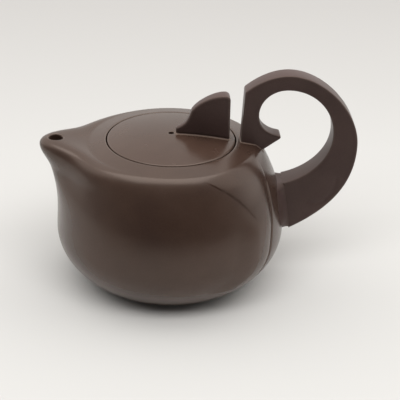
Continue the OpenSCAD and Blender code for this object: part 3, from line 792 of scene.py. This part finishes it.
lid_line = [(r, SEAT_HEIGHT) for r in (VENT_RADIUS, 12, 24)]
lid_line += soft_corner(LID_RADIUS, SEAT_HEIGHT, -EDGE_SOFT, EDGE_SOFT, 3)
lid_line += [(LID_RADIUS, RIM_HEIGHT - 2)]
lid_line += curve([(LID_RADIUS, RIM_HEIGHT - LIP_ROUND), (LID_RADIUS, RIM_HEIGHT),
                   (LID_RADIUS - LIP_ROUND, lid_z(LID_RADIUS - LIP_ROUND))], 6)
vent_edge = VENT_RADIUS + VENT_ROUND
lid_line += [(r, lid_z(r)) for r in np.linspace(LID_RADIUS - LIP_ROUND, vent_edge, 34)[1:]]
lid_line += curve([(vent_edge, lid_z(vent_edge)), (VENT_RADIUS, lid_z(VENT_RADIUS)),
                   (VENT_RADIUS, lid_z(VENT_RADIUS) - VENT_ROUND)], 4)[1:]
lid = turned_ring("lid_disc", lid_line, lid_clay, 256)

# %% The flange
FLANGE_INNER, FLANGE_OUTER, FLANGE_BOTTOM = 25.3, 27.9, 64.0
flange_line = [(FLANGE_INNER, SEAT_HEIGHT)] + soft_corner(FLANGE_INNER, FLANGE_BOTTOM, EDGE_SOFT, EDGE_SOFT)[::-1]
flange_line += soft_corner(FLANGE_OUTER, FLANGE_BOTTOM, -EDGE_SOFT, EDGE_SOFT) + [(FLANGE_OUTER, SEAT_HEIGHT)]
flange = turned_ring("lid_flange_ring", flange_line, inside_clay, 160)

# %% [markdown]
# ## A slab with soft edges
# The knob and the handle are cut from slabs of clay and their edges are wiped round. A bevel modifier could round a
# cut-out slab, but its width jumps where the outline bends. Here the outline is drawn once, and the soft edge is a
# few copies of it, each a little further in and a little further out of the slab's face.

# %% Tools for outlines
def moved_in(loop, depth):
    """The outline moved inwards. Its points run with the clay on their left."""
    before, after = loop - np.roll(loop, 1, 0), np.roll(loop, -1, 0) - loop
    sides = [np.stack((-d[:, 1], d[:, 0]), 1) / np.linalg.norm(d, axis=1)[:, None] for d in (before, after)]
    miter = (sides[0] + sides[1]) / (1 + (sides[0] * sides[1]).sum(1))[:, None]
    return loop + miter * depth


def rounded_corner(before, corner, after, radius, steps=8):
    """Points of an arc that rounds a corner between two straight edges."""
    before, corner, after = (np.array(p, float) for p in (before, corner, after))
    first, second = ((p - corner) / np.linalg.norm(p - corner) for p in (before, after))
    half = acos(float(np.clip(first @ second, -1, 1))) / 2
    middle = (first + second) / np.linalg.norm(first + second)
    centre = corner + middle * radius / sin(half)
    start, end = (corner + d * radius / tan(half) - centre for d in (first, second))
    sweep = np.linspace(0, 1, steps + 1)
    arc = acos(float(np.clip(start @ end / radius ** 2, -1, 1)))
    return [tuple(centre + (start * sin((1 - s) * arc) + end * sin(s * arc)) / sin(arc)) for s in sweep]


def even_steps(points, count):
    """The same line with a given number of points, evenly spaced."""
    points = np.array(points, float)
    lengths = np.concatenate(([0], np.cumsum(np.linalg.norm(np.diff(points, axis=0), axis=1))))
    wanted = np.linspace(0, lengths[-1], count)
    return np.stack([np.interp(wanted, lengths, points[:, k]) for k in range(2)], 1)


square = np.array([(0, 0), (10, 0), (10, 10), (0, 10)], float)
print("a square of 10 mm moved in by 1 mm:", moved_in(square, 1).round(2).tolist())

# %% A slab between two lines
SOFT_STEPS = 6


def soft_slab(name, left, right, half_at, across, soft, material):
    """A slab between two lines of as many points, with soft edges. half_at gives half its thickness at a row and x."""
    rows, ends = len(left), across - 1
    shares = np.linspace(0, 1, across + 1)[1:-1]
    first_end = [left[0] * (1 - s) + right[0] * s for s in shares]
    last_end = [right[-1] * (1 - s) + left[-1] * s for s in shares]
    loop = np.concatenate((right, last_end, left[::-1], first_end))
    order = [*range(rows)] + [rows - 1] * ends + [*range(rows - 1, -1, -1)] + [0] * ends
    halves = np.array([half_at(row, x) for row, (x, z) in zip(order, loop)])
    points, faces, rings = [], [], {}
    turns = np.linspace(0, pi / 2, SOFT_STEPS)
    for side in (-1, 1):
        for k, turn in enumerate(turns):
            ring = moved_in(loop, soft * (1 - cos(turn)))
            depth = halves - soft * (1 - sin(turn))
            rings[side, k] = range(len(points), len(points) + len(loop))
            points += [(x, side * y, z) for (x, z), y in zip(ring, depth)]
    stack = [rings[-1, k] for k in range(len(turns) - 1, -1, -1)] + [rings[1, k] for k in range(len(turns))]
    for low, high in zip(stack, stack[1:]):
        faces += [(low[k], low[k - 1], high[k - 1], high[k]) for k in range(len(loop))]
    for side in (-1, 1):
        ring = rings[side, len(turns) - 1]
        grid = np.zeros((rows, across + 1), int)
        grid[:, across], grid[-1, 1:across] = ring[:rows], ring[rows:rows + ends][::-1]
        grid[:, 0], grid[0, 1:across] = ring[rows + ends:2 * rows + ends][::-1], ring[2 * rows + ends:]
        for i in range(1, rows - 1):
            a, b = (np.array(points[grid[i, j]]) for j in (0, across))
            for j in range(1, across):
                grid[i, j] = len(points)
                x, y, z = a + (b - a) * j / across
                points.append((x, side * half_at(i, x), z))
        for i in range(rows - 1):
            faces += [tuple(int(v) for v in (grid[i, j], grid[i + 1, j], grid[i + 1, j + 1], grid[i, j + 1]))
                      for j in range(across)]
    obj = new_piece(name, points, faces, material)
    faced_outwards(obj)
    return obj


print("a soft edge has", SOFT_STEPS, "rings of points")

# %% [markdown]
# ## The handle
# The strap leaves the belly, swings out, curls over the top and comes down on the shoulder as an upright hook with a
# small pointed spur, leaving room for a finger. It tapers from the root to the hook.
# It could be a bent tube, but its two edges follow different curves, so both edges are drawn and the strap lies
# between them.

# %% The two edges of the handle
STRAP_THIN, STRAP_THICK = 8.6, 13.4


def point(x, from_rim):
    return np.array((x, RIM_HEIGHT + from_rim), float)


curl_top, curl_side = point(57, 35), point(92.6, -2)
loop_top, loop_side = point(57, 27.2), point(80.1, 3.8)
root_low, root_high = point(60, -47.4), point(56.1, -22)
hook_base, hook_foot, hook_corner = point(34.5, -2.2), point(34.5, 0), point(35.8, 26.3)
waist, spur_tip, spur_foot = point(43, 14), point(55.7, 2.5), point(45.7, -4.6)


def quarter(top, side, share):
    """A curve's points for a quarter of a ring: level at its top, upright at its side."""
    return [top, top + (share * (side - top)[0], 0), side + (0, share * (top - side)[1]), side]


def sweep_down(side, root, share, lead):
    """A curve's points from an upright side down to the root, where it comes in from the lead."""
    return [side, side - (0, share * (side - root)[1]), root + (side - root) * lead, root]


ROUND = 0.5523
outer_left = [curl_top, curl_top - (7, 0), hook_corner + (6.9, 5.7), hook_corner]
outer_right, outer_low = quarter(curl_top, curl_side, 0.48), sweep_down(curl_side, root_low, 0.44, (0.67, 0.24))
inner_left, inner_right = quarter(loop_top, waist, ROUND), quarter(loop_top, loop_side, ROUND)
inner_low = sweep_down(loop_side, root_high, 0.47, (0.58, 0.13))
SEAM_OUTER, SEAM_INNER, HOOK_ROUND, SPUR_ROUND = 0.8, 0.5, 1.6, 1.0
spur_line = curve([waist, waist - (0, 5), point(45.2, 4.8), point(53.5, 2.7)], 24)
front_edge = [hook_base, hook_foot] + rounded_corner(hook_foot, hook_corner, bezier(outer_left, 0.9), HOOK_ROUND)
front_edge += curve(outer_left, 12, 0.86, SEAM_OUTER)
back_edge = [spur_foot] + rounded_corner(spur_foot, spur_tip, spur_line[-3], SPUR_ROUND) + spur_line[-4::-1]
back_edge += curve(inner_left, 16, 1, SEAM_INNER)[1:]
HOOK_ROWS = 110
left_line, right_line = [even_steps(front_edge, HOOK_ROWS)], [even_steps(back_edge, HOOK_ROWS)]
half_line = [np.full(HOOK_ROWS, STRAP_THIN / 2)]
SECTIONS, ROWS_PER_SECTION = 40, 5
runs = ((outer_left, inner_left, SEAM_OUTER, SEAM_INNER, 0, 0, 8), (outer_right, inner_right, 0, 0, 1, 8, 22),
        (outer_low, inner_low, 0, 0, 1, 22, SECTIONS))
for outer, inner_side, start_out, start_in, end, first, last in runs:
    steps = ROWS_PER_SECTION * (last - first)
    left_line.append(np.array(curve(outer, steps, start_out, end)[1:]))
    right_line.append(np.array(curve(inner_side, steps, start_in, end)[1:]))
    share = np.linspace(first, last, steps + 1)[1:] / SECTIONS
    half_line.append((STRAP_THIN + (STRAP_THICK - STRAP_THIN) * share) / 2)
left_line, right_line, half_line = (np.concatenate(parts) for parts in (left_line, right_line, half_line))
print("the handle has", len(left_line), "rows")

# %% The strap with its pressed arc
STRAP_SOFT, ARC_DEPTH, ARC_WIDTH = 0.7, 0.32, 0.8
ARC = np.array([(68.8, 45.1), (71.5, 43.9), (74.4, 43.9), (77.4, 45.3), (80.0, 47.6), (81.7, 50.0), (82.6, 53.4),
                (82.8, 57.3)])
strap = soft_slab("handle_strap", left_line, right_line, lambda row, x: half_line[row], 28, STRAP_SOFT, handle_clay)


def arc_distance(x, z):
    p = np.array((x, z))
    best = 1e9
    for a, b in zip(ARC, ARC[1:]):
        t = float(np.clip((p - a) @ (b - a) / ((b - a) @ (b - a)), 0, 1))
        best = min(best, float(np.linalg.norm(p - a - (b - a) * t)))
    return best


pressed = 0
(low_x, low_z), (high_x, high_z) = ARC.min(0) - 3, ARC.max(0) + 3
for v in strap.data.vertices:
    x, y, z = v.co / MM
    if low_x < x < high_x and low_z < z < high_z:
        depth = ARC_DEPTH * exp(-(arc_distance(x, z) / ARC_WIDTH) ** 2)
        if depth > 0.01:
            v.co.y -= (1 if y > 0 else -1) * depth * MM
            pressed += 1
finished(strap)
print("arc pressed into", pressed, "points")

# %% [markdown]
# ## The saddle under the handle's root
# The root of the strap does not touch the belly with a sharp corner: a collar of soft clay is worked in between, wide
# at the sides and narrow above and below. A fillet tool has no edge to work on here, because the two surfaces never
# meet, so the collar is a loft: each point of the strap's end runs in along the strap and then out along the belly.

# %% The saddle
SADDLE_INSET, SIDE_FLARE, END_FLARE, END_RISE, TOP_FALL = 0.15, 9.0, 1.0, 0.9, 0.4
ROOT_CORNER, SADDLE_STEPS, SADDLE_HOLLOW, FEATHER, FLARE_POWER, SOFT_SHARE = 2.0, 16, 3.0, 0.04, 0.7, 0.7
TUCK_DEPTH, TUCK_SHARE, SINK_DEPTH, SINK_SHARE = 1.5, 0.85, 2.5, 0.97
root_middle = (root_low + root_high) / 2
root_run = (root_high - root_low) / np.linalg.norm(root_high - root_low)
root_half = np.linalg.norm(root_high - root_low) / 2 - SADDLE_INSET
root_side = STRAP_THICK / 2 - SADDLE_INSET


def belly_x(y, z, sunk):
    return sqrt(max((pot_radius(z) - sunk) ** 2 - y * y, 0))


root_loop = []
for corner, (side, end) in enumerate(((1, 1), (-1, 1), (-1, -1), (1, -1))):
    centre = np.array((side * (root_side - ROOT_CORNER), end * (root_half - ROOT_CORNER)))
    for a in np.linspace(corner * pi / 2, (corner + 1) * pi / 2, 9):
        root_loop.append(centre + ROOT_CORNER * np.array((cos(a), sin(a))))
root_loop = even_steps(root_loop + [root_loop[0]], 161)[:-1]
saddle_rings = [[] for _ in range(SADDLE_STEPS + 3)]
for y, s in root_loop:
    place = root_middle + root_run * s
    start_x = place[0] + STRAP_SOFT * SOFT_SHARE
    stand = start_x - belly_x(y, place[1], 0)
    middle_share = max(1 - (s / root_half) ** 2, 0.0)
    far_y = y * (root_side + END_FLARE + SIDE_FLARE * middle_share ** FLARE_POWER) / root_side
    far_s = s - (END_RISE if s < 0 else TOP_FALL) * (s / root_half) ** 3
    far_z = (root_middle + root_run * far_s)[1]
    hollow = 1 + (SADDLE_HOLLOW - 1) * (1 - abs(s / root_half) ** 3)
    saddle_rings[0].append((start_x + TUCK_DEPTH, y * TUCK_SHARE, place[1]))
    for k in range(SADDLE_STEPS + 1):
        share = k / SADDLE_STEPS
        here_y, here_z = y + (far_y - y) * share, place[1] + (far_z - place[1]) * share
        lift = stand * (1 - share) ** hollow + FEATHER
        saddle_rings[k + 1].append((belly_x(here_y, here_z, 0) + lift, here_y, here_z))
    saddle_rings[-1].append((belly_x(far_y, far_z, SINK_DEPTH), far_y * SINK_SHARE, far_z))
saddle = lofted("root_saddle", saddle_rings, handle_clay)
finished(saddle)

# %% [markdown]
# ## The knob
# The knob is a fin: a low tip in front, a hollow brow and a rounded crest at the back, thicker towards the back so
# that two fingers hold it. It is made as the handle is, from two lines, its front outline and its back outline.

# %% The knob
KNOB_FRONT, KNOB_BACK, KNOB_CREST, KNOB_ROUND, KNOB_SOFT = 2.3, 28.8, 23.9, 2.6, 1.0
KNOB_TIP_THICK, KNOB_BACK_THICK, KNOB_SUNK, TIP_ROUND = 3.2, 7.6, 0.8, 1.1
UNDERCUT, UNDERCUT_HEIGHT, UNDERCUT_WIDTH = 0.3, 0.75, 0.4
tip, brow, crest = point(KNOB_FRONT, 6.3), point(9.7, 15.2), point(24.7, KNOB_CREST)
front_foot = np.array((KNOB_FRONT, lid_z(KNOB_FRONT) - KNOB_SUNK))
back_foot = np.array((KNOB_BACK, lid_z(KNOB_BACK) - KNOB_SUNK))
brow_line = curve([tip, tip + (4.7, 1.9), brow - (1.7, 5), brow], 24)
knob_left = [front_foot] + rounded_corner(front_foot, tip, brow_line[2], TIP_ROUND) + brow_line[4:]
knob_left += curve([brow, brow + (1.8, 3.7), crest - (6, 0.6), crest], 24)[1:]
corner_centre = point(KNOB_BACK - KNOB_ROUND, KNOB_CREST - KNOB_ROUND)
knob_right = [back_foot] + [tuple(corner_centre + KNOB_ROUND * np.array((cos(a), sin(a))))
                            for a in np.linspace(0, pi / 2, 14)] + [tuple(crest + (0.8, 0))]
KNOB_ROWS = 110
knob_left, knob_right = even_steps(knob_left, KNOB_ROWS), even_steps(knob_right, KNOB_ROWS)


def knob_half(x):
    share = (x - KNOB_FRONT) / (KNOB_BACK - KNOB_FRONT)
    return (KNOB_TIP_THICK + (KNOB_BACK_THICK - KNOB_TIP_THICK) * share) / 2


knob = soft_slab("knob_fin", knob_left, knob_right, lambda row, x: knob_half(x), 24, KNOB_SOFT, handle_clay)
for v in knob.data.vertices:
    x, y, z = v.co / MM
    above = z - lid_z(hypot(x, y))
    cut = UNDERCUT * exp(-((above - UNDERCUT_HEIGHT) / UNDERCUT_WIDTH) ** 2)
    v.co.y -= (1 if y > 0 else -1) * cut * MM
finished(knob)

# %% [markdown]
# ## The slip seams
# Knob and handle are stuck on with slip, a thin clay paste. A little is squeezed out and dries as a pale line along
# the seam. It could be drawn in the material, but the seam also softens the corner, so it is a thin hollow fillet
# that follows the foot of each piece on the surface under it.

# %% Slip seams
SEAM_CORNER = 0.9
SEAM_SHAPE = [(-0.5, -0.4), (0.45, -0.4), (0.65, 0.02), (0.38, 0.1), (0.18, 0.2), (0.0, 0.36), (-0.5, 0.42)]


def slip_seam(name, foot, height_at):
    foot = even_steps(foot + [foot[0]], 241)[:-1]
    ahead = np.roll(foot, -1, 0) - np.roll(foot, 1, 0)
    outward = np.stack((ahead[:, 1], -ahead[:, 0]), 1) / np.linalg.norm(ahead, axis=1)[:, None]
    rings = []
    for (x, y), (dx, dy) in zip(foot, outward):
        rings.append([(x + dx * o, y + dy * o, height_at(x + dx * o, y + dy * o) + u) for o, u in SEAM_SHAPE])
    seam = lofted(name, rings, slip_clay, wrap=True)
    finished(seam)
    return seam


def foot_outline(x0, x1, half0, half1):
    corners = [(x0, -half0), (x1, -half1), (x1, half1), (x0, half0)]
    loop = []
    for k in range(4):
        loop += rounded_corner(corners[k - 1], corners[k], corners[(k + 1) % 4], SEAM_CORNER)
    return loop


knob_foot = foot_outline(KNOB_FRONT, KNOB_BACK, knob_half(KNOB_FRONT), knob_half(KNOB_BACK))
knob_seam = slip_seam("knob_slip", knob_foot, lambda x, y: lid_z(hypot(x, y)))
under_spur = np.linspace(spur_foot, spur_tip, 400)
spur_lands = next(x for x, z in under_spur if z > pot_height(x))
hook_under = foot_outline(hook_foot[0], spur_lands, STRAP_THIN / 2, STRAP_THIN / 2)
hook_seam = slip_seam("hook_slip", hook_under, lambda x, y: pot_height(hypot(x, y)))
print("the spur meets the shoulder at x", round(float(spur_lands), 1))

# %% [markdown]
# ## The floor and the light
# The pot stands on a pale paper sweep in a bright room. The sides, the back and the ceiling of the room are bright and
# the front is dark, which is why the belly has a dark band in front and pale rims at its sides. A picture of a room
# could light it, but a few directions are enough: the world's brightness is read from where a ray points.
# A burnished belly also mirrors the ground in front of it, and on the real pot that reflection is dark. So a felt card
# lies there that only the pot sees, and from above only. One soft light overhead is for the pot. The paper has a light
# of its own from the front, because the pot's shadow falls to the back. The paper's colour is painted darker towards
# the back, a painted shade for the light that falls off there.

# %% Floor
def sheet(name, half_width, near, far, height, material):
    corners = [(-half_width, near), (half_width, near), (half_width, far), (-half_width, far)]
    return new_piece(name, [(x, y, height) for x, y in corners], [(0, 1, 2, 3)], material)


HALF_FLOOR, PAPER_NEAR, PAPER_FAR = 3000, -0.15, 0.45
paper, paper_tree = empty_material("matt_paper_painted_falloff")
# The paper is painted darker towards the back, a painted shade where less light reaches it.
depth = map_range(paper_tree, directions(paper_tree, "Object")["Y"], PAPER_NEAR, PAPER_FAR)
painted_falloff_tones = three_tones(paper_tree, depth, "#cacac9", "#cbcbca", "#bfbebd")
matt = add(paper_tree, "ShaderNodeBsdfPrincipled", {"Base Color": painted_falloff_tones, "Roughness": 0.9, "Specular IOR Level": 0.1})
add(paper_tree, "ShaderNodeOutputMaterial", {"Surface": matt})
floor = sheet("floor", HALF_FLOOR, -HALF_FLOOR, HALF_FLOOR, 0, paper)
print("floor", 2 * HALF_FLOOR / 1000, "m wide")

# %% The dark card
HALF_CARD, CARD_START, CARD_END, CARD_LIFT = 1500, -2000, 200, 1
CARD_NEAR, CARD_FAR, CARD_WRAP = -0.12, -0.5, 0.3
felt, weave = empty_material("dark_felt")
on_card = directions(weave, "Object")
wrapped = math_node(weave, "MULTIPLY_ADD", math_node(weave, "ABSOLUTE", on_card["X"]), -CARD_WRAP, on_card["Y"])
thick = map_range(weave, wrapped, CARD_NEAR, CARD_FAR)
below = add(weave, "ShaderNodeNewGeometry").outputs["Backfacing"]
from_above = math_node(weave, "SUBTRACT", thick, below, use_clamp=True)
cloth = add(weave, "ShaderNodeBsdfDiffuse", {"Color": linear("#2b2826")})
clear = add(weave, "ShaderNodeBsdfTransparent")
laid = add(weave, "ShaderNodeMixShader", {0: from_above, 1: clear, 2: cloth})
add(weave, "ShaderNodeOutputMaterial", {"Surface": laid})
card = sheet("dark_card", HALF_CARD, CARD_START, CARD_END, CARD_LIFT, felt)
card.visible_camera = card.visible_shadow = False
print("the card grows dark from", CARD_NEAR, "to", CARD_FAR, "m in front of the pot's axis")

# %% The room
ROOM_TILT, ROOM_TURN, ROOM_START, ROOM_END, ROOM_DARK, ROOM_BRIGHT = 0.6, 0.2, -0.12, 0.42, 0.03, 0.8
SIDE_GAIN, SIDE_FILL, TOP_GLOW = 0.5, 0.3, 0.65
world = bpy.data.worlds.new("studio")
scene.world = world
world.use_nodes = True
studio = world.node_tree
studio.nodes.clear()
calc = partial(math_node, studio)
looks = directions(studio, "Generated")
backwards = calc("MULTIPLY_ADD", looks["X"], ROOM_TURN, looks["Y"])
tilted = calc("MULTIPLY_ADD", looks["Z"], ROOM_TILT, backwards)
room = map_range(studio, tilted, ROOM_START, ROOM_END, ROOM_DARK, ROOM_BRIGHT, interpolation_type="SMOOTHSTEP")
across_room = calc("ABSOLUTE", looks["X"])
side_gain = calc("MULTIPLY_ADD", across_room, SIDE_GAIN, 1.0)
glow = calc("MULTIPLY", calc("POWER", calc("MAXIMUM", looks["Z"], 0.0), 3.0), TOP_GLOW)
fill = calc("MULTIPLY_ADD", calc("POWER", across_room, 4.0), SIDE_FILL, glow)
strength = calc("MULTIPLY_ADD", room, side_gain, fill)
sky = add(studio, "ShaderNodeBackground", {"Color": linear("#fffcf8"), "Strength": strength})
add(studio, "ShaderNodeOutputWorld", {"Surface": sky})
print("the room's brightness is worked out by", len(studio.nodes), "nodes")

# %% The lights
def area_light(name, width, depth, watts, place, tilt, on_floor):
    """A soft light that falls on the floor only (INCLUDE), or on everything else (EXCLUDE)."""
    data = bpy.data.lights.new(name, "AREA")
    data.shape, data.size, data.size_y = "RECTANGLE", width, depth
    data.energy, data.color = watts, (1.0, 0.985, 0.965)
    lamp = bpy.data.objects.new(name, data)
    lamp.location, lamp.rotation_euler = place, (radians(tilt), 0, 0)
    scene.collection.objects.link(lamp)
    lit = bpy.data.collections.new(name + "_lights")
    lit.objects.link(floor)
    lit.collection_objects[0].light_linking.link_state = on_floor
    lamp.light_linking.receiver_collection = lit
    print(name, watts, "W at", [round(v, 2) for v in lamp.location])


area_light("softbox", 1.2, 1.0, 6.5, (0.0, -0.08, 1.1), 0, "EXCLUDE")
area_light("floor_light", 2.4, 0.8, 33, (0.0, -1.15, 1.63), 35.2, "INCLUDE")
scene.view_settings.view_transform = "Standard"

# %% [markdown]
# ## Handing the pieces to the frame
# Each piece rides on the body that its solid belongs to, so that lifting or turning the lid takes the knob, the vent
# and the flange with it. The table also names the solids that each piece stands for, and those solids are hidden.

# %% Bodies, slots and solids
HAND_OVER = ((pot, "pot", "clay_wall", ("base_disc", "body_wall", "shoulder_plate", "spout")),
             (ledge, "pot", "clay_inside", ("lid_seat",)),
             (strainer, "pot", "clay_inside", ("strainer",)),
             (strap, "pot", "clay_handle", ("handle_loop", "handle_hook")),
             (saddle, "pot", "clay_handle", ("handle_saddle",)),
             (hook_seam, "pot", "clay_handle", ()),
             (lid, "lid", "clay_lid", ("lid_plate",)),
             (flange, "lid_ring", "clay_inside", ("lid_flange",)),
             (knob, "lid", "clay_knob", ("lid_knob",)),
             (knob_seam, "lid", "clay_knob", ()))
for piece, body, slot, solids in HAND_OVER:
    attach(piece, body)
    if solids:
        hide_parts(*solids)
print(len(HAND_OVER), "pieces ride on", sorted({row[1] for row in HAND_OVER}))

# %% The end
bpy.context.view_layer.update()
